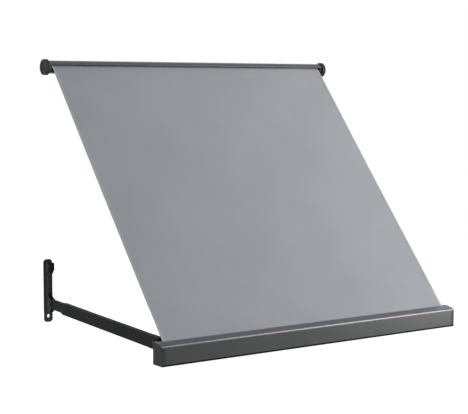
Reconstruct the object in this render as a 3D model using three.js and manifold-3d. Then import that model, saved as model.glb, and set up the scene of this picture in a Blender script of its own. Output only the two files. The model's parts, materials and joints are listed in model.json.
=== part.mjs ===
// Drop-arm window awning, shown pulled out: a slim cassette on the wall, a spring roller inside it,
// a taut fabric panel, a front bar and two arms that swing on wall brackets.
// Millimetres. X runs along the awning, +Y into the wall, +Z up. The sub-parts are written with
// y = 0, z = 0 on the roller axis and x = 0 at mid length, and the whole is then moved so that the
// origin lies on the back of the left cassette bracket.
import * as THREE from 'three';
import { mergeVertices } from 'three/addons/utils/BufferGeometryUtils.js';
import Module from 'manifold-3d';

const wasm = await Module();
wasm.setup();

// Layout
const barLength = 1000;
const wallOffset = 45;
const armPivotDrop = 682;
const armPivotOffset = 22;
const armReach = 584;
const armFall = 19;
const armInset = 25;
const gap = 0.3;
const runningGap = 0.5;

// Cassette
const cassetteRadius = 19;
const cassetteWall = 1.6;
const mouthTop = 27;
const mouthBottom = 47;
const lipBead = 1.5;
const railNeck = 4;
const railHead = 12;
const railHeadDepth = 3;
const railReach = 8;

// Cassette end caps
const capOverhang = 3;
const capRadius = 23;
const capThickness = 12;
const capGroove = 1.4;
const capGrooveWidth = 2;
const capDish = 2.2;
const capRim = 3;
const capButton = 5;
const spigotLength = 8;
const spigotWall = 2.5;

// Cassette brackets
const cassetteBracketInset = 130;
const cassetteBracketWidth = 44;
const plateThickness = 3;
const bracketPlateTop = 17;
const bracketPlateBottom = 56;
const bracketJaw = 12;
const bracketGusset = 34;
const wallScrewRadius = 3.2;
const wallScrewSpacing = 22;
const clampScrewRadius = 2;

// Roller and its spring
const rollerRadius = 7;
const rollerWall = 1;
const rollerEndGap = 1;
const plugLength = 24;
const trunnionRadius = 3.5;
const trunnionLength = 10;
const boreWall = 3;
const shaftRadius = 2.5;
const shaftLength = 230;
const springTurns = 12;
const springWire = 0.8;
const springRadius = 4.4;
const anchorLength = 12;
const bushLength = 20;

// Fabric
const fabricThickness = 0.6;
const fabricMargin = 20.5;
const woundThickness = 0.7;
const weltRadius = 2.7;
const weltRodRadius = 1.6;

// Front bar
const barDepth = 44;
const barFrontHeight = 52.2;
const barRearHeight = 58.7;
const barRidge = 31;
const barWall = 2;
const barCorner = 2;
const barCapLength = 10;
const barCapEdge = 1.2;
const barPlugLength = 14;
const weltDepth = 7.5;
const weltBore = 3.2;
const weltSlot = 2;
const barRoofRoom = 5.5;
const topGrooveInset = 4.5;
const topGrooveWidth = 2.2;
const topGrooveDepth = 0.8;
const bottomRibPitch = 11;
const bottomRibDepth = 0.8;

// Hinges on the back of the bar
const hingeReach = 24;
const hingeHeight = 51.2;
const hingePlate = 3;
const hingePlateWidth = 34;
const hingePlateHeight = 48;
const hingePlateFoot = 8;
const hingeTongue = 6;
const hingeEye = 9;
const hingePinRadius = 3;
const hingeScrewRadius = 2.2;
const hingeScrewSpread = 25.4;
const hingeScrewDepth = 6;
const hingeScrewHead = 1.6;

// Arms
const tubeWidth = 16;
const tubeRise = 14.8;
const tubeDrop = 18.6;
const tubeWall = 1.5;
const tubeCorner = 2;
const knuckleWidth = 10;
const neckRise = 12.8;
const neckDrop = 15.2;
const neckLength = 66;
const shoulderLength = 22;
const plugInTube = 40;
const forkLength = 24;
const forkNose = 19.3;
const forkSlot = 6.8;
const forkBridge = 4.8;
const forkRound = 18.4;
const pivotPinRadius = 4;

// Arm brackets and their clips
const plateWidth = 27.5;
const plateTop = 127.5;
const plateBottom = 57;
const plateCorner = 9;
const channelWall = 2;
const channelDepth = 12.2;
const channelTop = 91;
const channelBottom = 27;
const webBottom = 29;
const webOffset = 12;
const earRadius = 11;
const tabSlotWidth = 7.4;
const tabSlotHeight = 10;
const tabSlotDrop = 39;
const clipWall = 1.8;
const clipFront = 0.8;
const clipTop = 118;
const clipShoulder = 99;
const clipFoot = 84;
const clipBack = 8;
const upperScrewRise = 108;

const colours = {
  powderCoat: { color: 0x35363a, roughness: 0.55, metalness: 0.3 },
  steel: { color: 0x8d9095, roughness: 0.4, metalness: 0.9 },
  plastic: { color: 0x2b2c2e, roughness: 0.6, metalness: 0.0 },
  fabric: { color: 0x8f929b, roughness: 0.95, metalness: 0.0 },
};

// Derived places
const halfBar = barLength / 2;
const bracketX = halfBar - cassetteBracketInset;
const armX = halfBar - armInset;
const fabricHalf = halfBar - fabricMargin;
const wallY = wallOffset;
const plateY = wallOffset - plateThickness;
const armPivot = { y: armPivotOffset, z: -armPivotDrop };
const armTilt = Math.asin(armFall / armReach);
const barPivot = {
  y: armPivot.y - armReach * Math.cos(armTilt),
  z: armPivot.z - armFall,
};
const barFrontY = barPivot.y - hingeReach - barDepth;
const barBottomZ = barPivot.z - hingeHeight;
const woundRadius = rollerRadius + gap + woundThickness;
const sheetRadius = woundRadius + gap + fabricThickness / 2;
const ridge = { y: barFrontY + barRidge, z: barBottomZ + barRearHeight };

// The panel runs straight from the ridge of the bar to the tangent on the wound roller.
const ridgeDistance = Math.hypot(ridge.y, ridge.z);
const pull = Math.atan2(-ridge.z, -ridge.y) + Math.asin(sheetRadius / ridgeDistance);
const along = { y: Math.cos(pull), z: Math.sin(pull) };
const panelTop = { y: -sheetRadius * along.z, z: sheetRadius * along.y };
const weltCentre = { y: ridge.y - weltDepth * along.y, z: ridge.z - weltDepth * along.z };

// Geometry helpers
function solidFrom(geometry) {
  const bare = geometry.index ? geometry.toNonIndexed() : geometry.clone();
  bare.deleteAttribute('normal');
  bare.deleteAttribute('uv');
  const merged = mergeVertices(bare, 1e-4);
  const place = merged.attributes.position;
  const index = merged.index.array;
  const kept = [];
  let volume = 0;
  const a = new THREE.Vector3();
  const b = new THREE.Vector3();
  const c = new THREE.Vector3();
  for (let i = 0; i < index.length; i += 3) {
    const [p, q, r] = [index[i], index[i + 1], index[i + 2]];
    if (p === q || q === r || r === p) continue;
    kept.push(p, q, r);
    a.fromBufferAttribute(place, p);
    b.fromBufferAttribute(place, q);
    c.fromBufferAttribute(place, r);
    volume += a.dot(b.cross(c));
  }
  if (volume < 0) kept.reverse();
  return new wasm.Manifold(
    new wasm.Mesh({
      numProp: 3,
      vertProperties: new Float32Array(place.array),
      triVerts: new Uint32Array(kept),
    }),
  );
}

function geometryFrom(solid) {
  const { vertProperties, triVerts } = solid.getMesh();
  const geometry = new THREE.BufferGeometry();
  geometry.setAttribute('position', new THREE.BufferAttribute(vertProperties, 3));
  geometry.setIndex(new THREE.BufferAttribute(triVerts, 1));
  geometry.computeVertexNormals();
  return geometry;
}

function cut(solid, ...tools) {
  return tools.reduce((left, tool) => left.subtract(tool), solid);
}

function join(solid, ...others) {
  return others.reduce((left, other) => left.add(other), solid);
}

// An outline of corners [x, y, fillet], each fillet drawn as an arc.
function outline(corners) {
  const points = [];
  const count = corners.length;
  corners.forEach(([x, y, fillet = 0], i) => {
    const corner = new THREE.Vector2(x, y);
    if (!fillet) {
      points.push(corner);
      return;
    }
    const [bx, by] = corners[(i + count - 1) % count];
    const [nx, ny] = corners[(i + 1) % count];
    const back = new THREE.Vector2(bx, by).sub(corner).normalize();
    const ahead = new THREE.Vector2(nx, ny).sub(corner).normalize();
    const opening = Math.acos(THREE.MathUtils.clamp(back.dot(ahead), -1, 1));
    const reach = fillet / Math.tan(opening / 2);
    const start = corner.clone().addScaledVector(back, reach);
    const bisector = back.clone().add(ahead).normalize();
    const centre = corner.clone().addScaledVector(bisector, fillet / Math.sin(opening / 2));
    const turn = Math.PI - opening;
    const side = Math.sign(back.x * ahead.y - back.y * ahead.x);
    const steps = Math.max(2, Math.ceil(turn / (Math.PI / 8)));
    const spoke = start.clone().sub(centre);
    for (let k = 0; k <= steps; k++) {
      points.push(spoke.clone().rotateAround(new THREE.Vector2(), (-side * turn * k) / steps).add(centre));
    }
  });
  return points;
}

function circle(radius, x = 0, y = 0, sides = 24) {
  return Array.from({ length: sides }, (_, i) => {
    const angle = (2 * Math.PI * i) / sides;
    return new THREE.Vector2(x + radius * Math.cos(angle), y + radius * Math.sin(angle));
  });
}

function block(x0, x1, y0, y1) {
  return outline([[x0, y0], [x1, y0], [x1, y1], [x0, y1]]);
}

const planes = {
  x: [[0, 1, 0], [0, 0, 1], [1, 0, 0]],
  y: [[0, 0, 1], [1, 0, 0], [0, 1, 0]],
  z: [[1, 0, 0], [0, 1, 0], [0, 0, 1]],
};

// Extrudes an outline along an axis: outlines are (y, z) for x, (z, x) for y and (x, y) for z.
function extrude(axis, points, from, to, options = {}) {
  const geometry = new THREE.ExtrudeGeometry(new THREE.Shape(points), {
    depth: to - from,
    bevelEnabled: false,
    ...options,
  });
  geometry.translate(0, 0, from);
  const basis = planes[axis].map((v) => new THREE.Vector3(...v));
  geometry.applyMatrix4(new THREE.Matrix4().makeBasis(...basis));
  return solidFrom(geometry);
}

// Turns a closed profile of [radius, x] points about the X axis.
function turned(profile, sides = 24) {
  const points = profile.map(([radius, x]) => new THREE.Vector2(radius, x));
  if (profile[0][0] !== 0) points.push(points[0].clone());
  const geometry = new THREE.LatheGeometry(points, sides);
  geometry.rotateZ(-Math.PI / 2);
  return solidFrom(geometry);
}

function moved(solid, x, y, z) {
  return solid.translate([x, y, z]);
}

function piece(name, solid, finish) {
  const mesh = new THREE.Mesh(geometryFrom(solid), new THREE.MeshStandardMaterial(colours[finish]));
  mesh.name = name;
  return mesh;
}

// Parts that exist once on each side are built for the right and mirrored for the left.
const sides = [
  { word: 'left', sign: -1 },
  { word: 'right', sign: 1 },
];

function onSide(solid, sign) {
  return sign > 0 ? solid : solid.mirror([1, 0, 0]);
}

// Cassette: an extruded C with a mouth at the front and a T rail at the back.
const cassetteEnd = halfBar + capOverhang - capThickness;
const shellInner = cassetteRadius - cassetteWall;
const railRoot = cassetteRadius - cassetteWall / 2;
const railHeadY = cassetteRadius + railReach - railHeadDepth;
const railEndY = cassetteRadius + railReach;

function cassette() {
  const start = Math.PI + THREE.MathUtils.degToRad(mouthBottom);
  const end = 3 * Math.PI - THREE.MathUtils.degToRad(mouthTop);
  const steps = 34;
  const arc = (radius, from, to) =>
    Array.from({ length: steps + 1 }, (_, i) => {
      const angle = from + ((to - from) * i) / steps;
      return new THREE.Vector2(radius * Math.cos(angle), radius * Math.sin(angle));
    });
  const shell = extrude(
    'x',
    [...arc(cassetteRadius, start, end), ...arc(shellInner, end, start)],
    -cassetteEnd + gap,
    cassetteEnd - gap,
  );
  const beadAt = cassetteRadius - cassetteWall / 2;
  const lips = [start, end].map((angle) =>
    extrude(
      'x',
      circle(lipBead, beadAt * Math.cos(angle), beadAt * Math.sin(angle), 12),
      -cassetteEnd + gap,
      cassetteEnd - gap,
    ),
  );
  const rail = extrude(
    'x',
    outline([
      [railRoot, -railNeck / 2], [railHeadY, -railNeck / 2], [railHeadY, -railHead / 2],
      [railEndY, -railHead / 2], [railEndY, railHead / 2], [railHeadY, railHead / 2],
      [railHeadY, railNeck / 2], [railRoot, railNeck / 2],
    ]),
    -cassetteEnd + gap,
    cassetteEnd - gap,
  );
  return piece('cassette', join(shell, ...lips, rail), 'powderCoat');
}

// Round end cap: grooved rim, dished face with a raised button, spigot with a blind bore.
function cassetteCap({ word, sign }) {
  const outer = halfBar + capOverhang;
  const inner = outer - capThickness;
  const edge = 1.2;
  const mid = (outer + inner) / 2;
  const spigot = shellInner - lipBead + cassetteWall / 2 - gap;
  const body = turned([
    [0, outer - capDish + 1.2],
    [capButton - 1, outer - capDish + 1],
    [capButton, outer - capDish],
    [capRadius - capRim - 4, outer - capDish + 0.8],
    [capRadius - capRim, outer],
    [capRadius - edge, outer],
    [capRadius, outer - edge],
    [capRadius, mid + capGrooveWidth / 2],
    [capRadius - capGroove, mid + capGrooveWidth / 4],
    [capRadius - capGroove, mid - capGrooveWidth / 4],
    [capRadius, mid - capGrooveWidth / 2],
    [capRadius, inner + edge / 2],
    [capRadius - edge / 2, inner],
    [spigot, inner],
    [spigot, inner - spigotLength],
    [spigot - spigotWall, inner - spigotLength],
    [spigot - spigotWall, inner - 1],
    [trunnionRadius + boreWall, inner - 1],
    [trunnionRadius + boreWall, inner - spigotLength],
    [0, inner - spigotLength],
  ], 24);
  const boreRadius = sign > 0 ? shaftRadius + gap : trunnionRadius + runningGap;
  const bore = turned([
    [0, inner - spigotLength - 1], [boreRadius, inner - spigotLength - 1],
    [boreRadius, inner + capThickness / 3], [0, inner + capThickness / 3],
  ], 20);
  return piece(`cassette_cap_${word}`, onSide(cut(body, bore), sign), 'plastic');
}

// Wall bracket that grips the T rail, with a gusset down to its screw plate.
function cassetteBracket({ word, sign }) {
  const from = bracketX - cassetteBracketWidth / 2;
  const to = bracketX + cassetteBracketWidth / 2;
  const nose = cassetteRadius + 2 * gap + 1;
  const body = extrude(
    'x',
    outline([
      [nose, -bracketJaw, 1.5], [nose + 12, -bracketJaw, 3], [plateY, -bracketGusset, 4],
      [plateY, -bracketPlateBottom, 1], [wallY, -bracketPlateBottom], [wallY, bracketPlateTop],
      [plateY, bracketPlateTop, 1], [plateY, bracketJaw, 2], [nose, bracketJaw, 1.5],
    ]),
    from,
    to,
  );
  const slot = extrude(
    'x',
    outline([
      [nose - 1, -railNeck / 2 - gap], [railHeadY - gap, -railNeck / 2 - gap],
      [railHeadY - gap, -railHead / 2 - gap], [railEndY + gap, -railHead / 2 - gap],
      [railEndY + gap, railHead / 2 + gap], [railHeadY - gap, railHead / 2 + gap],
      [railHeadY - gap, railNeck / 2 + gap], [nose - 1, railNeck / 2 + gap],
    ]),
    from - 1,
    to + 1,
  );
  const holeZ = -(bracketGusset + bracketPlateBottom) / 2;
  const holes = [-1, 1].map((side) =>
    extrude(
      'y',
      circle(wallScrewRadius, holeZ, bracketX + (side * wallScrewSpacing) / 2, 16),
      plateY - 8,
      wallY + 1,
    ),
  );
  const clampY = (railHeadY + railEndY) / 2;
  const clampHole = extrude('z', circle(clampScrewRadius + gap, bracketX, clampY, 16), -30, -railHead / 2);
  return piece(`cassette_bracket_${word}`, onSide(cut(body, slot, ...holes, clampHole), sign), 'powderCoat');
}

// Grub screw that clamps the rail from below.
function clampScrew({ word, sign }) {
  const clampY = (railHeadY + railEndY) / 2;
  const top = -railHead / 2 - gap;
  const body = extrude('z', circle(clampScrewRadius, bracketX, clampY, 16), -bracketJaw - 2, top);
  const socket = extrude('z', circle(1.1, bracketX, clampY, 6), -bracketJaw - 3, -bracketJaw + 0.5);
  return piece(`clamp_screw_${word}`, onSide(cut(body, socket), sign), 'steel');
}

// Roller: a thin tube with a trunnion plug on the left and a bush on the right.
const rollerEnd = halfBar + capOverhang - capThickness - spigotLength - rollerEndGap;
const rollerInner = rollerRadius - rollerWall;

function rollerTube() {
  const tube = turned([
    [rollerInner, -rollerEnd], [rollerRadius, -rollerEnd], [rollerRadius, rollerEnd], [rollerInner, rollerEnd],
  ], 26);
  return piece('roller_tube', tube, 'steel');
}

function rollerPlug() {
  const shoulder = rollerEnd + rollerEndGap / 2;
  const plug = turned([
    [0, -rollerEnd + plugLength], [rollerInner - gap - 1, -rollerEnd + plugLength],
    [rollerInner - gap, -rollerEnd + plugLength - 1], [rollerInner - gap, -shoulder],
    [trunnionRadius, -shoulder], [trunnionRadius, -shoulder - trunnionLength + 1],
    [trunnionRadius - 1, -shoulder - trunnionLength], [0, -shoulder - trunnionLength],
  ], 18);
  return piece('roller_plug', plug, 'plastic');
}

function rollerBush() {
  const bore = shaftRadius + runningGap;
  const bush = turned([
    [bore, rollerEnd - bushLength], [rollerInner - gap, rollerEnd - bushLength],
    [rollerInner - gap, rollerEnd], [bore, rollerEnd],
  ], 18);
  return piece('roller_bush', bush, 'plastic');
}

// Spring motor: a fixed shaft, an anchor at its inner end and a torsion spring between anchor and bush.
const shaftInner = rollerEnd - shaftLength;

function springShaft() {
  const end = halfBar + capOverhang - capThickness + capThickness / 3 - gap;
  const shaft = turned([[0, shaftInner], [shaftRadius, shaftInner], [shaftRadius, end], [0, end]], 20);
  return piece('spring_shaft', shaft, 'steel');
}

function springAnchor() {
  const bore = shaftRadius + gap;
  const outer = springRadius + springWire;
  const anchor = turned([
    [bore, shaftInner + 2], [outer, shaftInner + 2], [outer, shaftInner + 2 + anchorLength],
    [bore, shaftInner + 2 + anchorLength],
  ], 20);
  return piece('spring_anchor', anchor, 'plastic');
}

class Helix extends THREE.Curve {
  constructor(radius, turns, start, length) {
    super();
    Object.assign(this, { radius, turns, start, length });
  }

  getPoint(t) {
    const angle = 2 * Math.PI * this.turns * t;
    return new THREE.Vector3(
      this.start + this.length * t,
      this.radius * Math.cos(angle),
      this.radius * Math.sin(angle),
    );
  }
}

function rollerSpring() {
  const start = shaftInner + 2 + anchorLength + springWire + gap;
  const end = rollerEnd - bushLength - springWire - gap;
  const wire = new THREE.Shape(circle(springWire, 0, 0, 4));
  const geometry = new THREE.ExtrudeGeometry(wire, {
    steps: springTurns * 7,
    extrudePath: new Helix(springRadius, springTurns, start, end - start),
  });
  return piece('roller_spring', solidFrom(geometry), 'steel');
}

// The turns that stay on the roller, and the panel with its welt seam around the welt rod.
function fabricTurns() {
  const inner = rollerRadius + gap;
  const turns = turned([
    [inner, -fabricHalf], [woundRadius, -fabricHalf], [woundRadius, fabricHalf], [inner, fabricHalf],
  ], 26);
  return piece('fabric_turns', turns, 'fabric');
}

function fabricPanel() {
  const half = fabricThickness / 2;
  const [nearY, nearZ] = [-half * along.z, half * along.y];
  const strip = extrude(
    'x',
    [
      new THREE.Vector2(weltCentre.y - nearY, weltCentre.z - nearZ),
      new THREE.Vector2(panelTop.y - nearY, panelTop.z - nearZ),
      new THREE.Vector2(panelTop.y + nearY, panelTop.z + nearZ),
      new THREE.Vector2(weltCentre.y + nearY, weltCentre.z + nearZ),
    ],
    -fabricHalf,
    fabricHalf,
  );
  const seam = extrude('x', circle(weltRadius, weltCentre.y, weltCentre.z, 20), -fabricHalf, fabricHalf);
  const bore = extrude(
    'x',
    circle(weltRodRadius + gap, weltCentre.y, weltCentre.z, 20),
    -fabricHalf - 1,
    fabricHalf + 1,
  );
  return piece('fabric_panel', cut(join(strip, seam), bore), 'fabric');
}

function weltRod() {
  const rod = extrude('x', circle(weltRodRadius, weltCentre.y, weltCentre.z, 16), -fabricHalf - 3, fabricHalf + 3);
  return piece('welt_rod', rod, 'plastic');
}

// Front bar: a hollow extrusion with a sloped top, a welt groove at the ridge and a closed web under it.
const barBackY = barFrontY + barDepth;
const barWebHeight = barFrontHeight - barRoofRoom;
const barTopSlope = (barRearHeight - barFrontHeight) / barRidge;

function barSection(inset = 0) {
  return outline([
    [barFrontY + inset, barBottomZ + inset, barCorner],
    [barBackY - inset, barBottomZ + inset, barCorner],
    [barBackY - inset, barBottomZ + barFrontHeight - inset, 4],
    [barFrontY + barRidge + 7, barBottomZ + barRearHeight - inset, 3],
    [barFrontY + barRidge - 2, barBottomZ + barRearHeight - 2 * barTopSlope - inset, 2],
    [barFrontY + inset, barBottomZ + barFrontHeight - inset, 2],
  ]);
}

function barProfile() {
  const end = halfBar - barCapLength - gap;
  const mainHollow = outline([
    [barFrontY + barWall, barBottomZ + barWall, 1.5],
    [barBackY - barWall, barBottomZ + barWall, 1.5],
    [barBackY - barWall, barBottomZ + barWebHeight, 1.5],
    [barFrontY + barWall, barBottomZ + barWebHeight, 1.5],
  ]);
  const upperHollow = outline([
    [barFrontY + barWall + 1, barBottomZ + barWebHeight + barWall],
    [weltCentre.y - weltBore - barWall, barBottomZ + barWebHeight + barWall],
    [
      weltCentre.y - weltBore - barWall,
      barBottomZ + barFrontHeight + (weltCentre.y - weltBore - barWall - barFrontY) * barTopSlope - barWall,
    ],
    [barFrontY + barWall + 1, barBottomZ + barFrontHeight - barWall + barTopSlope],
  ]);
  const slotReach = weltDepth + 6;
  const [sideY, sideZ] = [(-weltSlot / 2) * along.z, (weltSlot / 2) * along.y];
  const slot = [
    new THREE.Vector2(weltCentre.y - sideY, weltCentre.z - sideZ),
    new THREE.Vector2(weltCentre.y + slotReach * along.y - sideY, weltCentre.z + slotReach * along.z - sideZ),
    new THREE.Vector2(weltCentre.y + slotReach * along.y + sideY, weltCentre.z + slotReach * along.z + sideZ),
    new THREE.Vector2(weltCentre.y + sideY, weltCentre.z + sideZ),
  ];
  const through = (points) => extrude('x', points, -end - 1, end + 1);
  const topAt = (inset) => barBottomZ + barFrontHeight + inset * barTopSlope;
  const grooveEnd = topGrooveInset + topGrooveWidth;
  const topGroove = through([
    new THREE.Vector2(barFrontY + topGrooveInset, topAt(topGrooveInset) - topGrooveDepth),
    new THREE.Vector2(barFrontY + grooveEnd, topAt(grooveEnd) - topGrooveDepth),
    new THREE.Vector2(barFrontY + grooveEnd, topAt(grooveEnd) + 1),
    new THREE.Vector2(barFrontY + topGrooveInset, topAt(topGrooveInset) + 1),
  ]);
  const flutes = [-1, 0, 1].map((k) => {
    const y = barFrontY + barDepth / 2 + k * bottomRibPitch;
    return through(block(y - bottomRibDepth, y + bottomRibDepth, barBottomZ - 1, barBottomZ + bottomRibDepth));
  });
  const screwHoles = [-1, 1].flatMap((hand) =>
    [-1, 1].map((side) =>
      extrude(
        'y',
        circle(hingeScrewRadius + gap, screwZ, hand * (armX + (side * hingeScrewSpread) / 2), 12),
        barBackY - barWall - 1,
        barBackY + 1,
      ),
    ),
  );
  const body = cut(
    extrude('x', barSection(), -end, end),
    through(mainHollow),
    through(upperHollow),
    through(circle(weltBore, weltCentre.y, weltCentre.z, 20)),
    through(slot),
    topGroove,
    ...flutes,
    ...screwHoles,
  );
  return piece('bar_profile', body, 'powderCoat');
}

function barCap({ word, sign }) {
  const outer = halfBar;
  const inner = halfBar - barCapLength;
  const head = extrude('x', barSection(), inner - barCapLength + barCapEdge, outer - barCapEdge, {
    bevelEnabled: true,
    bevelSize: barCapEdge,
    bevelOffset: -barCapEdge,
    bevelThickness: barCapEdge,
    bevelSegments: 2,
  });
  const trim = extrude('x', block(barFrontY - 5, barBackY + 5, barBottomZ - 5, barBottomZ + 80), inner - 20, inner);
  const inset = barWall + gap;
  const plugBack = barBackY - hingeScrewDepth - runningGap;
  const plugBody = extrude(
    'x',
    outline([
      [barFrontY + inset, barBottomZ + inset, 1.5],
      [plugBack, barBottomZ + inset, 1.5],
      [plugBack, barBottomZ + barWebHeight - gap, 1.5],
      [barFrontY + inset, barBottomZ + barWebHeight - gap, 1.5],
    ]),
    inner - barPlugLength,
    inner + 1,
  );
  const plugHollow = extrude(
    'x',
    block(barFrontY + inset + 2, plugBack - 2, barBottomZ + inset + 2, barBottomZ + barWebHeight - 3),
    inner - barPlugLength - 1,
    inner + 2,
  );
  return piece(`bar_cap_${word}`, onSide(cut(join(cut(head, trim), plugBody), plugHollow), sign), 'plastic');
}

// Hinge on the back of the bar: a screw plate with one tongue that stands in the arm's fork.
const hingePlateY = barBackY + gap;
const hingePlateTop = barBottomZ + hingePlateFoot + hingePlateHeight;
const screwZ = barBottomZ + hingePlateFoot + hingePlateHeight / 2;

function barHinge({ word, sign }) {
  const plate = extrude(
    'y',
    outline([
      [barBottomZ + hingePlateFoot, armX - hingePlateWidth / 2, 3],
      [hingePlateTop, armX - hingePlateWidth / 2, 3],
      [hingePlateTop, armX + hingePlateWidth / 2, 3],
      [barBottomZ + hingePlateFoot, armX + hingePlateWidth / 2, 3],
    ]),
    hingePlateY,
    hingePlateY + hingePlate,
  );
  const from = armX - hingeTongue / 2;
  const to = armX + hingeTongue / 2;
  const eye = extrude('x', circle(hingeEye, barPivot.y, barPivot.z, 24), from, to);
  const neck = extrude('x', outline([
    [hingePlateY + 1, barPivot.z - hingeEye], [barPivot.y, barPivot.z - hingeEye],
    [barPivot.y, barPivot.z + hingeEye], [hingePlateY + hingePlate + 2, hingePlateTop - 1],
    [hingePlateY + 1, hingePlateTop - 1],
  ]), from, to);
  const bore = extrude('x', circle(hingePinRadius + gap, barPivot.y, barPivot.z, 20), from - 1, to + 1);
  const holes = [-1, 1].map((side) =>
    extrude(
      'y',
      circle(hingeScrewRadius + gap, screwZ, armX + (side * hingeScrewSpread) / 2, 12),
      hingePlateY - 1,
      hingePlateY + hingePlate + 1,
    ),
  );
  return piece(`bar_hinge_${word}`, onSide(cut(join(plate, eye, neck), bore, ...holes), sign), 'powderCoat');
}

function hingeScrew({ word, sign }, side, position) {
  const x = armX + (side * hingeScrewSpread) / 2;
  const back = hingePlateY + hingePlate + gap;
  const head = extrude('y', circle(hingeScrewRadius * 1.8, screwZ, x, 16), back, back + hingeScrewHead);
  const stem = extrude('y', circle(hingeScrewRadius, screwZ, x, 12), barBackY - hingeScrewDepth, back + 0.5);
  const cross = [[0.45, 1.7], [1.7, 0.45]].map(([w, h]) =>
    extrude('y', block(screwZ - w, screwZ + w, x - h, x + h), back + hingeScrewHead - 0.9, back + 3),
  );
  const body = cut(join(head, stem), ...cross);
  return piece(`hinge_screw_${word}_${position}`, onSide(body, sign), 'steel');
}

// Arm pieces are drawn with the wall pivot at y = 0, z = 0 and the front end towards -Y.
const tubeStart = neckLength + shoulderLength;
const forkStart = armReach - forkLength;

function armKnuckle({ word }) {
  const side = extrude('x', outline([
    [neckDrop, -neckDrop, neckRise], [neckDrop, neckRise, neckRise],
    [-neckLength, neckRise, 12], [-tubeStart, tubeRise], [-tubeStart, -tubeDrop],
    [-neckLength, -neckDrop, 12],
  ].reverse()), -tubeWidth / 2, tubeWidth / 2);
  const plan = extrude('z', outline([
    [knuckleWidth / 2, neckDrop + 1], [-knuckleWidth / 2, neckDrop + 1],
    [-knuckleWidth / 2, -neckLength, 8], [-tubeWidth / 2, -tubeStart], [tubeWidth / 2, -tubeStart],
    [knuckleWidth / 2, -neckLength, 8],
  ]), -tubeDrop, tubeRise);
  const grip = tubeWall + gap;
  const plug = extrude('x', outline([
    [-tubeStart + 1, -tubeDrop + grip, 0], [-tubeStart + 1, tubeRise - grip, 0],
    [-tubeStart - plugInTube, tubeRise - grip, 2], [-tubeStart - plugInTube, -tubeDrop + grip, 2],
  ]), -tubeWidth / 2 + grip, tubeWidth / 2 - grip);
  const bore = extrude('x', circle(pivotPinRadius + runningGap, 0, 0, 20), -tubeWidth, tubeWidth);
  return piece(`arm_knuckle_${word}`, cut(join(side.intersect(plan), plug), bore), 'powderCoat');
}

function armTube({ word }) {
  const halfWidth = tubeWidth / 2;
  const ring = (inset, corner) => outline([
    [-tubeDrop + inset, -halfWidth + inset, corner], [tubeRise - inset, -halfWidth + inset, corner],
    [tubeRise - inset, halfWidth - inset, corner], [-tubeDrop + inset, halfWidth - inset, corner],
  ]);
  const [near, far] = [-tubeStart - gap, -forkStart + gap];
  const body = extrude('y', ring(0, tubeCorner), far, near);
  const hollow = extrude('y', ring(tubeWall, 0.5), far - 1, near + 1);
  return piece(`arm_tube_${word}`, cut(body, hollow), 'powderCoat');
}

// Front fork: a plug in the tube, then two cheeks under a bridge, rounded below so that the bar clears it.
function armFork({ word }) {
  const front = -armReach - forkNose;
  const grip = tubeWall + gap;
  const body = extrude('x', outline([
    [-forkStart, -tubeDrop], [-forkStart, tubeRise], [front, tubeRise, 2.5], [front, -tubeDrop, forkRound],
  ].reverse()), -tubeWidth / 2, tubeWidth / 2);
  const plug = extrude('x', outline([
    [-forkStart - 1, -tubeDrop + grip, 0], [-forkStart + plugInTube, -tubeDrop + grip, 2],
    [-forkStart + plugInTube, tubeRise - grip, 2], [-forkStart - 1, tubeRise - grip, 0],
  ]), -tubeWidth / 2 + grip, tubeWidth / 2 - grip);
  const slot = extrude(
    'x',
    block(front - 5, -armReach + hingeEye + 1.3, -tubeDrop - 5, tubeRise - forkBridge),
    -forkSlot / 2,
    forkSlot / 2,
  );
  const bore = extrude('x', circle(hingePinRadius + gap, -armReach, 0, 20), -tubeWidth, tubeWidth);
  return piece(`arm_fork_${word}`, cut(join(body, plug), slot, bore), 'powderCoat');
}

function forkPin({ word }) {
  const half = tubeWidth / 2;
  const pin = turned([
    [0, -half - 1.8], [hingePinRadius + 1.6, -half - 1.8], [hingePinRadius + 2.2, -half - 1.2],
    [hingePinRadius + 2.2, -half - gap], [hingePinRadius, -half - gap], [hingePinRadius, half + 0.8],
    [hingePinRadius - 0.8, half + 1.6], [0, half + 1.6],
  ], 16);
  return piece(`fork_pin_${word}`, moved(pin, 0, -armReach, 0), 'steel');
}

// Arm bracket: a wall plate with two channel walls that widen to ears around the arm pivot.
const channelHalf = knuckleWidth / 2 + runningGap;
const channelFrontY = plateY - channelDepth - armPivot.y;

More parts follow.
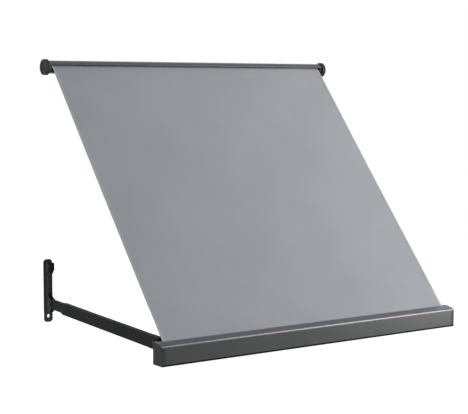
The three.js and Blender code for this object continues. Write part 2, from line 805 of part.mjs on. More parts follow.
function armBracket({ word, sign }) {
  const plate = extrude(
    'y',
    outline([
      [-plateBottom, -plateWidth / 2, plateCorner], [plateTop, -plateWidth / 2, plateCorner],
      [plateTop, plateWidth / 2, plateCorner], [-plateBottom, plateWidth / 2, plateCorner],
    ]),
    plateY - armPivot.y,
    wallY - armPivot.y,
  );
  const wallOutline = outline([
    [plateY - armPivot.y + 1, -channelBottom, 0], [plateY - armPivot.y + 1, channelTop, 0],
    [channelFrontY, channelTop, 4], [channelFrontY, earRadius + 9, 8], [-earRadius, earRadius, earRadius * 0.98],
    [-earRadius, -earRadius, earRadius * 0.98], [channelFrontY - 4, -channelBottom, 8],
  ]);
  const walls = [-1, 1].map((side) => {
    const inner = side * channelHalf;
    const outer = side * (channelHalf + channelWall);
    return extrude('x', wallOutline, Math.min(inner, outer), Math.max(inner, outer));
  });
  const web = extrude(
    'x',
    block(webOffset, webOffset + channelWall, webBottom, channelTop),
    -channelHalf - 0.5,
    channelHalf + 0.5,
  );
  const pivotBore = extrude('x', circle(pivotPinRadius + gap, 0, 0, 20), -plateWidth, plateWidth);
  const slotHalf = (tabSlotHeight - tabSlotWidth) / 2;
  const slotRound = tabSlotWidth / 2;
  const tabSlot = extrude('y', outline([
    [-tabSlotDrop - slotHalf - slotRound, -slotRound, slotRound * 0.99],
    [-tabSlotDrop + slotHalf + slotRound, -slotRound, slotRound * 0.99],
    [-tabSlotDrop + slotHalf + slotRound, slotRound, slotRound * 0.99],
    [-tabSlotDrop - slotHalf - slotRound, slotRound, slotRound * 0.99],
  ]), plateY - armPivot.y - 1, wallY - armPivot.y + 1);
  const upperHole = extrude(
    'y',
    circle(wallScrewRadius, upperScrewRise, 0, 16),
    plateY - armPivot.y - 1,
    wallY - armPivot.y + 1,
  );
  const body = cut(join(plate, ...walls, web), pivotBore, tabSlot, upperHole);
  const mesh = piece(`arm_bracket_${word}`, body, 'powderCoat');
  mesh.position.set(sign * armX, armPivot.y, armPivot.z);
  return mesh;
}

// Plastic clip at the top of the bracket: two tapered jaws that take the folded arm.
function armClip({ word, sign }) {
  const back = plateY - gap - armPivot.y;
  const jawHalf = tubeWidth / 2 + runningGap;
  const outerHalf = jawHalf + clipWall;
  const cheek = extrude('x', outline([
    [back, clipFoot, 0], [back, clipTop, 2], [-clipFront, clipTop, 3], [-clipFront, clipShoulder, 3],
    [back - 9, clipFoot, 3],
  ]), -outerHalf, outerHalf);
  const throat = extrude(
    'x',
    block(-clipFront - 5, back - clipBack, clipFoot - 5, clipTop + 5),
    -jawHalf,
    jawHalf,
  );
  const channelRoom = extrude(
    'x',
    block(-clipFront - 5, back + 5, clipFoot - 5, channelTop + gap),
    -channelHalf - channelWall - gap,
    channelHalf + channelWall + gap,
  );
  const hole = extrude('y', circle(wallScrewRadius, upperScrewRise, 0, 16), back - clipBack - 1, back + 1);
  const mesh = piece(`arm_clip_${word}`, cut(cheek, throat, channelRoom, hole), 'plastic');
  mesh.position.set(sign * armX, armPivot.y, armPivot.z);
  return mesh;
}

// Wall pivot: a headed pin, with a spring ring in a groove on the inner side.
const pinHalf = channelHalf + channelWall + gap;
const ringThickness = 1;
const ringGroove = 0.7;

function pivotPin({ word, sign }) {
  const grooveStart = pinHalf + gap / 2;
  const grooveEnd = grooveStart + ringThickness + gap;
  const pin = turned([
    [0, -pinHalf - 2.4], [pivotPinRadius + 1.8, -pinHalf - 2.4], [pivotPinRadius + 2.6, -pinHalf - 1.6],
    [pivotPinRadius + 2.6, -pinHalf], [pivotPinRadius, -pinHalf], [pivotPinRadius, grooveStart],
    [pivotPinRadius - ringGroove, grooveStart], [pivotPinRadius - ringGroove, grooveEnd],
    [pivotPinRadius, grooveEnd], [pivotPinRadius, grooveEnd + 1], [pivotPinRadius - 0.6, grooveEnd + 1.6],
    [0, grooveEnd + 1.6],
  ], 18);
  const mesh = piece(`pivot_pin_${word}`, onSide(pin, -sign), 'steel');
  mesh.position.set(sign * armX, armPivot.y, armPivot.z);
  return mesh;
}

function pinRing({ word, sign }) {
  const start = pinHalf + gap;
  const inner = pivotPinRadius - ringGroove + gap;
  const ring = turned([
    [inner, start], [pivotPinRadius + 2, start], [pivotPinRadius + 2, start + ringThickness - gap / 2],
    [inner, start + ringThickness - gap / 2],
  ], 16);
  const mouth = extrude('x', block(0, 20, -1.8, 1.8), start - 1, start + 3);
  const mesh = piece(`pin_ring_${word}`, onSide(cut(ring, mouth), -sign), 'steel');
  mesh.position.set(sign * armX, armPivot.y, armPivot.z);
  return mesh;
}

function arm(side) {
  const group = new THREE.Group();
  group.add(armKnuckle(side), armTube(side), armFork(side), forkPin(side));
  group.position.set(side.sign * armX, armPivot.y, armPivot.z);
  group.rotation.x = armTilt;
  return group;
}

const awning = new THREE.Group();
awning.add(cassette(), rollerTube(), rollerPlug(), rollerBush());
awning.add(springShaft(), springAnchor(), rollerSpring());
awning.add(fabricTurns(), fabricPanel(), weltRod(), barProfile());
for (const side of sides) {
  awning.add(cassetteCap(side), cassetteBracket(side), clampScrew(side));
  awning.add(armBracket(side), armClip(side), pivotPin(side), pinRing(side), arm(side));
  awning.add(barCap(side), barHinge(side), hingeScrew(side, -1, 'inner'), hingeScrew(side, 1, 'outer'));
}
awning.position.set(bracketX, -wallY, 0);

const group = new THREE.Group();
group.add(awning);
export default group;
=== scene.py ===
import json
import math

import bmesh
import bpy
from mathutils import Matrix, Vector


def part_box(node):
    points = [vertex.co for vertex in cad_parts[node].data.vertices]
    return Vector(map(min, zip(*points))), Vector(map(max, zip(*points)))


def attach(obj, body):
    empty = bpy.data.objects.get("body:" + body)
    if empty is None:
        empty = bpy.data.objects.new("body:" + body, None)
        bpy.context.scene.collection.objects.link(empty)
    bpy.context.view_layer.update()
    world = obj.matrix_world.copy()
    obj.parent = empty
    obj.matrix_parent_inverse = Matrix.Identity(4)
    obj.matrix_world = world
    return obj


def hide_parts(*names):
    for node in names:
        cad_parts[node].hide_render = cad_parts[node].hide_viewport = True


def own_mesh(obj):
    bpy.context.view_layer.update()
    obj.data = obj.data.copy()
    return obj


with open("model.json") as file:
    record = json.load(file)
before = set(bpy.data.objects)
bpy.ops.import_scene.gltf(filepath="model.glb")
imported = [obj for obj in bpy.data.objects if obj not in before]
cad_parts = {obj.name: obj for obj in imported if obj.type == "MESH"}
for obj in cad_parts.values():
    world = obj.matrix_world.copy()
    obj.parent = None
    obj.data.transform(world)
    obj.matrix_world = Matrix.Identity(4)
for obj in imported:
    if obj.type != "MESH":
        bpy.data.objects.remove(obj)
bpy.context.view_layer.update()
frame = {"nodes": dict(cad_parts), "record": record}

scene = bpy.context.scene
scene.view_settings.view_transform = "Standard"
print("frame loaded:", len(frame["nodes"]), "nodes")

# Camera at the photograph's angle, looking a little down and to the right
shot = {
    "place": (-1.8005, -3.3967, -0.0617),
    "yaw": 34.75,
    "pitch": 5.18,
    "lens": 100.1,
    "sensor": 36,
    "farthest": 60,
}
cameraData = bpy.data.cameras.new("shotCamera")
cameraData.lens = shot["lens"]
cameraData.sensor_width = shot["sensor"]
cameraData.clip_end = shot["farthest"]
camera = bpy.data.objects.new("shotCamera", cameraData)
camera.location = shot["place"]
camera.rotation_euler = (math.radians(90 - shot["pitch"]), 0, math.radians(-shot["yaw"]))
scene.collection.objects.link(camera)
scene.camera = camera

# Studio
studio = {
    "floorMiddle": 0.4,
    "floorHeight": -1.22,
    "floorHalf": 14,
    "floorColour": "#AEAFB1",
    "floorGlow": 1.25,
    "glowShare": 0.8,
    "ambient": 0.30,
}


def toLinear(colour):
    # sRGB hex to the linear values that the sockets want
    channels = [int(colour[i:i + 2], 16) / 255 for i in (1, 3, 5)]
    return [c / 12.92 if c <= 0.04045 else ((c + 0.055) / 1.055) ** 2.4 for c in channels] + [1.0]


def addNode(tree, kind, settings=None, links=None):
    # a key is a property of the node or else the name or number of one of its inputs
    node = tree.nodes.new(kind)
    for key, value in (settings or {}).items():
        if isinstance(key, str) and hasattr(node, key):
            setattr(node, key, value)
        else:
            node.inputs[key].default_value = value
    for key, socket in (links or {}).items():
        tree.links.new(socket, node.inputs[key])
    return node


def newPiece(name, bm, material):
    mesh = bpy.data.meshes.new(name)
    bm.to_mesh(mesh)
    bm.free()
    mesh.materials.append(material)
    piece = bpy.data.objects.new(name, mesh)
    scene.collection.objects.link(piece)
    return piece


def vertsIn(grown):
    # the vertices that an extrude made
    return [part for part in grown["geom"] if isinstance(part, bmesh.types.BMVert)]


def seenDirectly(tree):
    # 1 for what the camera or a reflection sees, 0 for light that falls on the object
    path = addNode(tree, "ShaderNodeLightPath")
    either = addNode(tree, "ShaderNodeMath", {"operation": "MAXIMUM"},
                     {0: path.outputs["Is Camera Ray"], 1: path.outputs["Is Glossy Ray"]})
    return addNode(tree, "ShaderNodeMath", {"operation": "MAXIMUM"},
                   {0: either.outputs[0], 1: path.outputs["Is Transmission Ray"]}).outputs[0]


world = bpy.data.worlds.new("studioWorld")
scene.world = world
world.use_nodes = True
tree = world.node_tree
tree.nodes.clear()
ambient = addNode(tree, "ShaderNodeBackground", {"Color": (1, 1, 1, 1), "Strength": studio["ambient"]})
white = addNode(tree, "ShaderNodeBackground", {"Color": (1, 1, 1, 1), "Strength": 1.0})
mix = addNode(tree, "ShaderNodeMixShader", {},
              {0: seenDirectly(tree), 1: ambient.outputs[0], 2: white.outputs[0]})
addNode(tree, "ShaderNodeOutputWorld", {}, {0: mix.outputs[0]})

floorPaint = bpy.data.materials.new("paleStudioFloor")
floorPaint.use_nodes = True
tree = floorPaint.node_tree
tree.nodes.clear()
matt = addNode(tree, "ShaderNodeBsdfDiffuse", {"Color": toLinear(studio["floorColour"])})
glow = addNode(tree, "ShaderNodeEmission", {"Color": (1, 1, 1, 1), "Strength": studio["floorGlow"]})
share = addNode(tree, "ShaderNodeMath", {"operation": "MULTIPLY", 1: studio["glowShare"]},
                {0: seenDirectly(tree)})
mix = addNode(tree, "ShaderNodeMixShader", {},
              {0: share.outputs[0], 1: matt.outputs[0], 2: glow.outputs[0]})
addNode(tree, "ShaderNodeOutputMaterial", {}, {0: mix.outputs[0]})

bm = bmesh.new()
bmesh.ops.create_grid(bm, x_segments=1, y_segments=1, size=studio["floorHalf"])
bmesh.ops.translate(bm, verts=bm.verts, vec=(studio["floorMiddle"], 0, studio["floorHeight"]))
floor = newPiece("studioFloor", bm, floorPaint)

lampAim = Vector((0.4, -0.4, -0.4))
lamps = {
    "key": {"power": 84, "size": (1.0, 2.6), "place": (2.6, -2.5, 0.55)},
    "top": {"power": 18, "size": (1.3, 0.9), "place": (1.9, -2.0, 1.6)},
    "side": {"power": 12, "size": (0.6, 0.6), "place": (2.6, -2.5, -0.75)},
    "back": {"power": 46, "size": (2.2, 0.4), "place": (1.6, 2.6, -0.95)},
}
for name, settings in lamps.items():
    lampData = bpy.data.lights.new(name + "Lamp", "AREA")
    lampData.shape = "RECTANGLE"
    lampData.size, lampData.size_y = settings["size"]
    lampData.energy = settings["power"]
    lamp = bpy.data.objects.new(name + "Lamp", lampData)
    lamp.location = settings["place"]
    lamp.rotation_euler = (lampAim - lamp.location).to_track_quat("-Z", "Y").to_euler()
    scene.collection.objects.link(lamp)
print("studio ready")


# Materials
def startMaterial(name, settings):
    material = bpy.data.materials.new(name)
    material.use_nodes = True
    tree = material.node_tree
    tree.nodes.clear()
    shader = addNode(tree, "ShaderNodeBsdfPrincipled", settings)
    addNode(tree, "ShaderNodeOutputMaterial", {}, {0: shader.outputs[0]})
    return material, tree, shader


coatPattern = {
    "toneFrom": 0.35,
    "toneTo": 0.65,
    "glossFrom": 0.2,
    "glossTo": 0.8,
    "grainToHeight": 8,  # a full lift is the grain's width divided by this
}


def paintedOrMoulded(name, settings):
    # Powder coat or moulded plastic: a fine grain lifts the surface, a slow cloud shifts tone and gloss
    material, tree, shader = startMaterial(name, {
        "IOR": settings["ior"], "Specular IOR Level": settings["specular"]})
    place = addNode(tree, "ShaderNodeTexCoord").outputs["Object"]
    grain = addNode(tree, "ShaderNodeTexNoise", {
        "Scale": 1 / settings["grain"], "Detail": 3, "Roughness": 0.6}, {"Vector": place})
    cloud = addNode(tree, "ShaderNodeTexNoise", {
        "Scale": 1 / settings["cloud"], "Detail": 2}, {"Vector": place})
    both = addNode(tree, "ShaderNodeMath", {"operation": "MULTIPLY_ADD", 1: settings["speckle"]},
                   {0: grain.outputs["Fac"], 2: cloud.outputs["Fac"]})
    tone = addNode(tree, "ShaderNodeMapRange", {
        "From Min": coatPattern["toneFrom"], "From Max": coatPattern["toneTo"] + settings["speckle"]},
        {"Value": both.outputs[0]})
    colour = addNode(tree, "ShaderNodeMix", {
        "data_type": "RGBA", 6: toLinear(settings["dark"]), 7: toLinear(settings["light"])},
        {0: tone.outputs[0]})
    gloss = addNode(tree, "ShaderNodeMapRange", {
        "From Min": coatPattern["glossFrom"], "From Max": coatPattern["glossTo"],
        "To Min": settings["rough"][0], "To Max": settings["rough"][1]}, {"Value": cloud.outputs["Fac"]})
    peel = addNode(tree, "ShaderNodeBump", {
        "Strength": settings["lift"], "Distance": settings["grain"] / coatPattern["grainToHeight"]},
        {"Height": grain.outputs["Fac"]})
    tree.links.new(colour.outputs[2], shader.inputs["Base Color"])
    tree.links.new(gloss.outputs[0], shader.inputs["Roughness"])
    tree.links.new(peel.outputs[0], shader.inputs["Normal"])
    return material


def zincPlate(name, settings):
    # Bright zinc plating: metal with a cloudy passivated tone and light brushing
    material, tree, shader = startMaterial(name, {"Metallic": 1.0})
    place = addNode(tree, "ShaderNodeTexCoord").outputs["Object"]
    stretch = addNode(tree, "ShaderNodeMapping", {"Scale": settings["stretch"]}, {"Vector": place})
    brush = addNode(tree, "ShaderNodeTexNoise", {"Scale": 1 / settings["grain"], "Detail": 4},
                    {"Vector": stretch.outputs[0]})
    colour = addNode(tree, "ShaderNodeMix", {
        "data_type": "RGBA", 6: toLinear(settings["dark"]), 7: toLinear(settings["light"])},
        {0: brush.outputs["Fac"]})
    gloss = addNode(tree, "ShaderNodeMapRange", {
        "To Min": settings["rough"][0], "To Max": settings["rough"][1]}, {"Value": brush.outputs["Fac"]})
    scratch = addNode(tree, "ShaderNodeBump", {
        "Strength": settings["lift"], "Distance": settings["depth"]}, {"Height": brush.outputs["Fac"]})
    tree.links.new(colour.outputs[2], shader.inputs["Base Color"])
    tree.links.new(gloss.outputs[0], shader.inputs["Roughness"])
    tree.links.new(scratch.outputs[0], shader.inputs["Normal"])
    return material


weavePattern = {
    "wavePeriod": 0.3142,  # of the wave texture at a scale of 1
    "threadsPerStreak": 60,
    "melangeShare": 0.45,
    "toneFrom": 0.5,
    "toneTo": 0.95,
    "threadToHeight": 5,  # a full lift is the thread's width divided by this
}


def wovenAcrylic(name, settings):
    # Solution-dyed acrylic in plain weave: threads over and under each other, dull, a little melange
    material, tree, shader = startMaterial(name, {
        "IOR": 1.45, "Roughness": 0.9, "Sheen Weight": settings["sheen"], "Sheen Roughness": 0.5})
    place = addNode(tree, "ShaderNodeTexCoord").outputs[settings["follows"]]
    pitch = settings["thread"]
    bands = weavePattern["wavePeriod"] / pitch
    weft = addNode(tree, "ShaderNodeTexWave", {"bands_direction": "Y", "Scale": bands},
                   {"Vector": place})
    warp = addNode(tree, "ShaderNodeTexWave", {"bands_direction": "X", "Scale": bands},
                   {"Vector": place})
    over = addNode(tree, "ShaderNodeTexChecker", {"Scale": 1 / pitch}, {"Vector": place})
    height = addNode(tree, "ShaderNodeMix", {"data_type": "FLOAT"},
                     {0: over.outputs["Fac"], 2: weft.outputs["Fac"], 3: warp.outputs["Fac"]})
    streaks = addNode(tree, "ShaderNodeMapping", {
        "Scale": (1 / pitch, 1 / (pitch * weavePattern["threadsPerStreak"]), 1 / pitch)}, {"Vector": place})
    melange = addNode(tree, "ShaderNodeTexNoise", {"Scale": 0.5, "Detail": 2},
                      {"Vector": streaks.outputs[0]})
    cloud = addNode(tree, "ShaderNodeTexNoise", {
        "Scale": 1 / settings["cloud"], "Detail": 3}, {"Vector": place})
    mixed = addNode(tree, "ShaderNodeMath", {
        "operation": "MULTIPLY_ADD", 1: weavePattern["melangeShare"]},
        {0: melange.outputs["Fac"], 2: cloud.outputs["Fac"]})
    tone = addNode(tree, "ShaderNodeMapRange", {
        "From Min": weavePattern["toneFrom"], "From Max": weavePattern["toneTo"]},
        {"Value": mixed.outputs[0]})
    yarn = addNode(tree, "ShaderNodeMix", {
        "data_type": "RGBA", 6: toLinear(settings["dark"]), 7: toLinear(settings["light"])},
        {0: tone.outputs[0]})
    shade = addNode(tree, "ShaderNodeMapRange", {"To Min": settings["gaps"], "To Max": 1.0},
                    {"Value": height.outputs[0]})
    colour = addNode(tree, "ShaderNodeMix", {"data_type": "RGBA", "blend_type": "MULTIPLY", 0: 1.0},
                     {6: yarn.outputs[2], 7: shade.outputs[0]})
    bump = addNode(tree, "ShaderNodeBump", {
        "Strength": settings["lift"], "Distance": pitch / weavePattern["threadToHeight"]},
        {"Height": height.outputs[0]})
    tree.links.new(colour.outputs[2], shader.inputs["Base Color"])
    tree.links.new(bump.outputs[0], shader.inputs["Normal"])
    return material


# Powder coat on extruded aluminium: dark grey, an even satin gloss over shallow orange peel
extrusion = {"ior": 1.5, "grain": 0.0016, "cloud": 0.09, "speckle": 0.35, "lift": 0.14}
powderCoat = paintedOrMoulded("powderCoatedAluminium", {
    **extrusion, "specular": 0.45, "dark": "#2B2C2D", "light": "#313233", "rough": (0.28, 0.32)})
# Painted light: a paler, glossier copy of the same coat for the bar's sloping top and front round, standing
# in for the stronger light that falls there
paintedLightTopCoat = paintedOrMoulded("paintedLightBarTop", {
    **extrusion, "specular": 0.85, "dark": "#3B3C3F", "light": "#414245", "rough": (0.28, 0.32)})
# Painted light: the cassette gets a paler copy of the same coat, standing in for the light on its
# upward-facing front, with the same satin gloss
paintedLightCassetteCoat = paintedOrMoulded("powderCoatCassettePaintedLight", {
    **extrusion, "specular": 0.4, "dark": "#414244", "light": "#47484A", "rough": (0.28, 0.33)})
# Powder coat on the steel arms: deeper peel, matt, with hardly any shine at a flat angle
coatedSteel = {"ior": 1.5, "grain": 0.0014, "cloud": 0.06, "speckle": 0.35, "lift": 0.25}
armCoat = paintedOrMoulded("powderCoatedSteel", {
    **coatedSteel, "specular": 0.08, "dark": "#3E3F40", "light": "#444546", "rough": (0.62, 0.74)})
# The pressed wall plates: a paler copy of the arms' coat with a broad dull shine; the plates are a little
# lighter than the arms, and the paleness also paints in light that they lack in the awning's shadow
plateToneAndPaintedLightCoat = paintedOrMoulded("plateToneAndPaintedLight", {
    **coatedSteel, "specular": 0.24, "dark": "#4E4F51", "light": "#565759", "rough": (0.58, 0.68)})
# Moulded polyamide: a fine spark-eroded grain that breaks the gloss to semi-matt
polyamide = {"ior": 1.46, "grain": 0.0009, "cloud": 0.05, "speckle": 0.5}
moulded = paintedOrMoulded("mouldedPolyamide", {
    **polyamide, "specular": 0.19, "dark": "#333436", "light": "#3B3C3E", "rough": (0.44, 0.56),
    "lift": 0.35})
# The bar's end caps are a little darker and smoother than the other mouldings
barCapPlastic = paintedOrMoulded("mouldedCapPolyamide", {
    **polyamide, "specular": 0.22, "dark": "#303133", "light": "#38393B", "rough": (0.4, 0.5),
    "lift": 0.3})
# Blackened steel pins: a thin dark oxide with a soft gloss
blackened = paintedOrMoulded("blackenedSteel", {
    "ior": 1.5, "specular": 0.3, "dark": "#202123", "light": "#2A2B2D", "grain": 0.0008, "cloud": 0.03,
    "speckle": 0.4, "rough": (0.35, 0.45), "lift": 0.15})
# Painted shade: nearly black and dull, so that the strip along the bar's lower front corner reads as the
# dark line of shade there
paintedShadeBlack = paintedOrMoulded("paintedShadeStripBlack", {
    "ior": 1.5, "specular": 0.05, "dark": "#161718", "light": "#1E1F20", "grain": 0.0007, "cloud": 0.04,
    "speckle": 0.4, "rough": (0.65, 0.8), "lift": 0.2})
# Bright zinc on screws and shafts: cloudy silver with light brushing along x
zinc = zincPlate("zincPlatedSteel", {
    "dark": "#8F9296", "light": "#B9BBBD", "grain": 0.0012, "stretch": (0.12, 1, 1), "rough": (0.28, 0.42),
    "lift": 0.15, "depth": 0.00005})
# Awning cloth of dyed acrylic: flat mid grey with a dull bloom.
# Real threads are 0.5 mm apart: drawn at 1.3 mm so that the weave can be seen
weave = {"thread": 0.0013, "lift": 0.5, "sheen": 0.08, "cloud": 0.22}
acrylic = wovenAcrylic("wovenAcrylic", {
    **weave, "follows": "UV", "dark": "#979A9F", "light": "#9EA1A7", "gaps": 0.8})
# The folded hem is two layers of cloth and looks a shade paler
hemAcrylic = wovenAcrylic("foldedAcrylicHem", {
    **weave, "follows": "UV", "dark": "#A6A9AE", "light": "#B0B3B8", "gaps": 0.85})
# Turns on the roller and the welt seam have no UV map, so their weave follows the object
woundAcrylic = wovenAcrylic("woundAcrylic", {
    **weave, "follows": "Object", "dark": "#969A9F", "light": "#9EA2AA", "gaps": 0.8})
# Polyester thread: a little darker than the hem, fuzzy rather than shiny
thread = paintedOrMoulded("polyesterThread", {
    "ior": 1.5, "specular": 0.3, "dark": "#84878C", "light": "#9A9DA2", "grain": 0.0006, "cloud": 0.02,
    "speckle": 0.5, "rough": (0.6, 0.75), "lift": 0.4})
print("materials ready")

# Metal and plastic pieces: the solids with broken edges and clean flats
brokenEdge = {
    "weld": 2e-6,  # joins the loose triangles of a CAD mesh
    "flatAngle": math.radians(0.5),
    "sharpAngle": math.radians(35),
    "segments": 2,
}
frontEdge = {
    "height": 0.0522,  # of the corner above the bar's underside
    "radius": 0.002,  # of the round on the solid
    "widened": 0.0052,  # radius that it gets here
    "centreDrop": 0.00162,  # from the corner to the round's centre
    "reach": 0.002,  # the round's vertices lie this near the corner
    "topNormal": 0.8,  # faces that point up more than this are the top
}


def roundFrontEdge(bm):
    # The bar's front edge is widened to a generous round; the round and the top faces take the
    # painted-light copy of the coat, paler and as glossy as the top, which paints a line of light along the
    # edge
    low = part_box("bar_profile")[0]
    corner = Vector((0, low[1], low[2] + frontEdge["height"]))
    centre = Vector((0, frontEdge["radius"], -frontEdge["centreDrop"]))
    grown = frontEdge["widened"] - frontEdge["radius"]
    near = [v for v in bm.verts if abs(v.co.y - corner.y) < frontEdge["reach"]
            and abs(v.co.z - corner.z) < frontEdge["reach"]]
    for vert in near:
        spoke = Vector((0, vert.co.y, vert.co.z)) - corner - centre
        vert.co += centre * grown / frontEdge["radius"] + spoke.normalized() * grown
    # painted light: faces that point up, and the round's faces, take the paler, glossier copy of the coat
    for face in bm.faces:
        facesUp = face.normal.z > frontEdge["topNormal"] and face.calc_center_median().z > corner.z
        if facesUp or all(v in near for v in face.verts):
            face.material_index = 1


def finishEdges(name, node, body, material, edge):
    bm = bmesh.new()
    bm.from_mesh(frame["nodes"][node].data)
    bmesh.ops.remove_doubles(bm, verts=bm.verts, dist=brokenEdge["weld"])
    for face in bm.faces:
        face.smooth = True
        face.material_index = 0
    if body == "front_bar":
        roundFrontEdge(bm)
    bmesh.ops.dissolve_limit(bm, angle_limit=brokenEdge["flatAngle"], verts=bm.verts, edges=bm.edges)
    for line in bm.edges:
        line.smooth = line.calc_face_angle(0.0) < brokenEdge["sharpAngle"]
    piece = newPiece(name, bm, material)
    # the second material is the painted-light copy of the coat for the bar's top and front round
    if body == "front_bar":
        piece.data.materials.append(paintedLightTopCoat)
    rounding = piece.modifiers.new("brokenEdges", "BEVEL")
    rounding.width = edge
    rounding.segments = brokenEdge["segments"]
    rounding.limit_method = "ANGLE"
    rounding.angle_limit = brokenEdge["sharpAngle"]
    flats = piece.modifiers.new("cleanFlats", "WEIGHTED_NORMAL")
    flats.keep_sharp = True
    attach(piece, body)
    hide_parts(node)


bodyOf = {node: body for body, nodes in frame["record"]["behaviour"]["bodies"].items() for node in nodes}
# piece: CAD node, slot, material and the width of its broken edges
hardware = {
    "cassetteShell": ("cassette", "powder_coat", paintedLightCassetteCoat, 0.0003),
    "barProfile": ("bar_profile", "powder_coat", powderCoat, 0.0005),
}
for hand in ("left", "right"):
    side = hand.capitalize()
    hardware["cassetteCap" + side] = ("cassette_cap_" + hand, "black_plastic", moulded, 0.0004)
    hardware["cassetteBracket" + side] = ("cassette_bracket_" + hand, "powder_coat", armCoat, 0.0005)
    hardware["barCap" + side] = ("bar_cap_" + hand, "black_plastic", barCapPlastic, 0.0008)
    hardware["barHinge" + side] = ("bar_hinge_" + hand, "powder_coat", armCoat, 0.0005)
    hardware["armKnuckle" + side] = ("arm_knuckle_" + hand, "powder_coat", armCoat, 0.0008)
    hardware["armTube" + side] = ("arm_tube_" + hand, "powder_coat", armCoat, 0.0003)
    hardware["armFork" + side] = ("arm_fork_" + hand, "powder_coat", armCoat, 0.0008)
    hardware["armBracket" + side] = ("arm_bracket_" + hand, "powder_coat", plateToneAndPaintedLightCoat, 0.0004)
    hardware["armClip" + side] = ("arm_clip_" + hand, "black_plastic", moulded, 0.0005)
for name, (node, slotName, material, edge) in hardware.items():
    finishEdges(name, node, bodyOf[node], material, edge)
print("hardware finished:", len(hardware))

# Painted shade: a thin near-black strip along the bar's lower front corner, where its rounded underside is
# in shade
shadeStrip = {
    "rise": 0.0048,  # up the bar's front
    "under": 0.004,  # back along its underside
    "round": 0.002,
    "roundMiddle": 0.0006,
    "proud": 0.0003,  # out of the bar's surface
    "inside": 0.0009,
    "endGap": 0.0015,  # short of the end caps' outer faces
}
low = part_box("bar_profile")[0]
proud = shadeStrip["proud"]
middle = shadeStrip["roundMiddle"] - proud
section = [(-proud, shadeStrip["rise"]), (-proud, shadeStrip["round"]), (middle, middle),
           (shadeStrip["round"], -proud), (shadeStrip["under"], -proud), (shadeStrip["under"], proud),
           (shadeStrip["inside"], shadeStrip["inside"]), (proud, shadeStrip["rise"])]
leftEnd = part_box("bar_cap_left")[0][0] + shadeStrip["endGap"]
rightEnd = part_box("bar_cap_right")[1][0] - shadeStrip["endGap"]
bm = bmesh.new()
start = bm.faces.new([bm.verts.new((leftEnd, low[1] + y, low[2] + z)) for y, z in section])
grown = bmesh.ops.extrude_face_region(bm, geom=[start])
bmesh.ops.translate(bm, verts=vertsIn(grown), vec=(rightEnd - leftEnd, 0, 0))
bmesh.ops.recalc_face_normals(bm, faces=bm.faces)
shadeStripPiece = newPiece("barCornerShadeStrip", bm, paintedShadeBlack)
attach(shadeStripPiece, "front_bar")

# Every CAD node gets its real finish, because pins, screws and the roller's pieces show as they are
slotFinish = {
    "powder_coat": armCoat,
    "zinc_steel": zinc,
    "blackened_steel": blackened,
    "black_plastic": moulded,
    "awning_fabric": woundAcrylic,
}
for part in frame["record"]["subparts"]:
    node = frame["nodes"][part["node"]]
    node.data.materials.clear()
    node.data.materials.append(slotFinish[part["material_slot"]])

# Fabric panel, from its tangent on the roller to the welt in the bar
clothLow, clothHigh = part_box("fabric_panel")
panel = {
    "width": round(clothHigh[0] - clothLow[0], 6),  # to the micrometre
    "centre": (clothLow[0] + clothHigh[0]) / 2,
    "thickness": 0.0006,
    "clearance": 0.0003,  # between the turns on the roller and the panel
    "sag": 0.0015,
    "columns": 40,
    "rows": 48,
    "sharpAngle": math.radians(40),
}


def middleOf(node):
    # The node's middle, in the plane that the arms swing in
    low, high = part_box(node)
    return Vector((0, (low[1] + high[1]) / 2, (low[2] + high[2]) / 2))


roller = middleOf("fabric_turns")
welt = middleOf("welt_rod")
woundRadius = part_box("fabric_turns")[1][2] - roller.z
sheetRadius = woundRadius + panel["clearance"] + panel["thickness"] / 2
toWelt = welt - roller
tangentTurn = Matrix.Rotation(-math.acos(sheetRadius / toWelt.length), 3, "X")
top = roller + tangentTurn @ toWelt.normalized() * sheetRadius
fall = welt - top
panelLength = fall.length
down = fall.normalized()
across = Vector((1, 0, 0))
outward = down.cross(across)


def onPanel(x, s, lift):
    # x across from the middle, s down from the roller, lift off the mid plane
    sag = panel["sag"] * math.sin(math.pi * s / panelLength) ** 2
    return top + across * (panel["centre"] + x) + down * s + outward * (lift - sag)


def mapThreads(piece, places):
    layer = piece.data.uv_layers.new(name="threads")
    for loop in piece.data.loops:
        layer.data[loop.index].uv = places[loop.vertex_index]


def followBar(piece):
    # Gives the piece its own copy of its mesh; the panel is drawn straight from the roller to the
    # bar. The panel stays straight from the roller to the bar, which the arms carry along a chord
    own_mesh(piece)


def makeCloth():
    # A flat unit square with the cloth's thickness, stretched over the panel
    bm = bmesh.new()
    bmesh.ops.create_grid(bm, x_segments=panel["columns"], y_segments=panel["rows"], size=0.5)
    bmesh.ops.solidify(bm, geom=bm.faces[:], thickness=panel["thickness"])
    heights = [v.co.z for v in bm.verts]
    middle = (min(heights) + max(heights)) / 2
    threads = []
    for vert in bm.verts:
        x = vert.co.x * panel["width"]
        s = (0.5 - vert.co.y) * panelLength
        vert.co = onPanel(x, s, vert.co.z - middle)
        threads.append((x, s))
    bmesh.ops.recalc_face_normals(bm, faces=bm.faces)
    cloth = newPiece("awningCloth", bm, acrylic)
    cloth.data.shade_smooth()
    cloth.data.set_sharp_from_angle(angle=panel["sharpAngle"])
    mapThreads(cloth, threads)
    return cloth


hemFold = {
    "width": 0.006,
    "thickness": 0.0003,
    "gap": 0.00005,  # keeps the fold off the cloth's surface
    "corner": 0.0002,
    "pressStart": 0.11,  # from the bar's end of the panel
    "pressLength": 0.05,
    "pressShare": 0.4,
}


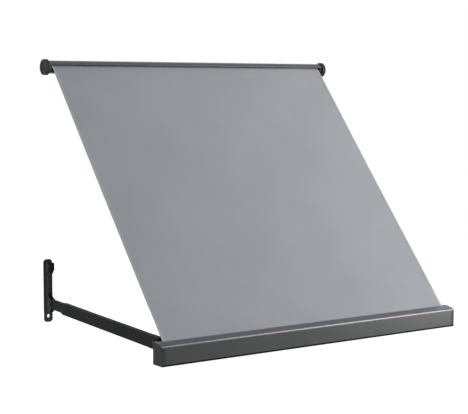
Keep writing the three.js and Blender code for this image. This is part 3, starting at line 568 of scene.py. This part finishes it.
def makeHem(name, sign):
    # The cloth's edge folded over both of its sides, extruded down the panel in steps
    half = panel["width"] / 2
    root = half - hemFold["width"]
    corner = half - hemFold["corner"]
    tip = half + hemFold["thickness"]
    inner = panel["thickness"] / 2 + hemFold["gap"]
    outer = inner + hemFold["thickness"]
    fold = [(root, inner), (half + hemFold["gap"], inner), (half + hemFold["gap"], -inner), (root, -inner),
            (root, -outer), (corner, -outer), (tip, -inner), (tip, inner), (corner, outer), (root, outer)]
    bm = bmesh.new()
    bm.faces.new([bm.verts.new((x, lift, 0)) for x, lift in fold])
    end = bm.faces[:]
    for step in range(panel["rows"]):
        grown = bmesh.ops.extrude_face_region(bm, geom=end)
        if step:
            bmesh.ops.delete(bm, geom=end, context="FACES_ONLY")
        bmesh.ops.translate(bm, verts=vertsIn(grown), vec=(0, 0, 1 / panel["rows"]))
        end = [part for part in grown["geom"] if isinstance(part, bmesh.types.BMFace)]
    threads = []
    for vert in bm.verts:
        x = vert.co.x * sign
        s = vert.co.z * panelLength
        lift = vert.co.y
        # pressed thinner near the bar, so that it fits the groove when the awning is closed
        pressed = min(max((s - panelLength + hemFold["pressStart"]) / hemFold["pressLength"], 0), 1)
        vert.co = onPanel(x, s, lift * (1 - hemFold["pressShare"] * pressed))
        threads.append((x + lift, s))
    bmesh.ops.recalc_face_normals(bm, faces=bm.faces)
    hem = newPiece(name, bm, hemAcrylic)
    mapThreads(hem, threads)
    return hem


stitch = {
    "length": 0.0028,
    "pitch": 0.0042,
    "inset": 0.0042,
    "start": 0.036,
    "end": 0.06,
    "radius": 0.00028,
    "seatShare": 0.3,  # of the radius, from the hem's surface out to the thread's middle
    "sides": 6,
}


def makeStitches(name, sign):
    # One row on each side of the hem, each stitch sunk about a third into it
    x = sign * (panel["width"] / 2 - stitch["inset"])
    hemSurface = panel["thickness"] / 2 + hemFold["gap"] + hemFold["thickness"]
    lift = hemSurface + stitch["radius"] * stitch["seatShare"]
    count = int((panelLength - stitch["start"] - stitch["end"]) / stitch["pitch"])
    turn = down.to_track_quat("Z", "X").to_matrix().to_4x4()
    bm = bmesh.new()
    for face in (1, -1):
        for i in range(count):
            middle = onPanel(x, stitch["start"] + i * stitch["pitch"], face * lift)
            bmesh.ops.create_cone(bm, cap_ends=True, segments=stitch["sides"], radius1=stitch["radius"],
                                  radius2=stitch["radius"], depth=stitch["length"],
                                  matrix=Matrix.Translation(middle) @ turn)
    return newPiece(name, bm, thread)


cloth = makeCloth()
hems = []
for hand, sign in (("Left", -1), ("Right", 1)):
    hems.append(makeHem("sideHem" + hand, sign))
    hems.append(makeStitches("hemStitches" + hand, sign))

for piece in [cloth] + hems:
    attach(piece, "wall_frame")
    followBar(piece)
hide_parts("fabric_panel")

# Welt seam around its rod, hidden in the bar's groove
weltSeam = {
    "radius": 0.0027,
    "sides": 20,
}
bm = bmesh.new()
bmesh.ops.create_circle(bm, segments=weltSeam["sides"], radius=weltSeam["radius"],
                        matrix=Matrix.Rotation(math.radians(90), 4, "Y"))
grown = bmesh.ops.extrude_edge_only(bm, edges=bm.edges[:])
bmesh.ops.translate(bm, verts=vertsIn(grown), vec=(panel["width"], 0, 0))
bmesh.ops.recalc_face_normals(bm, faces=bm.faces)
bmesh.ops.solidify(bm, geom=bm.faces[:], thickness=panel["thickness"])
bmesh.ops.translate(bm, verts=bm.verts, vec=welt + across * clothLow[0])
seam = newPiece("weltSeam", bm, woundAcrylic)
seam.data.shade_smooth()
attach(seam, "front_bar")
print("fabric ready")
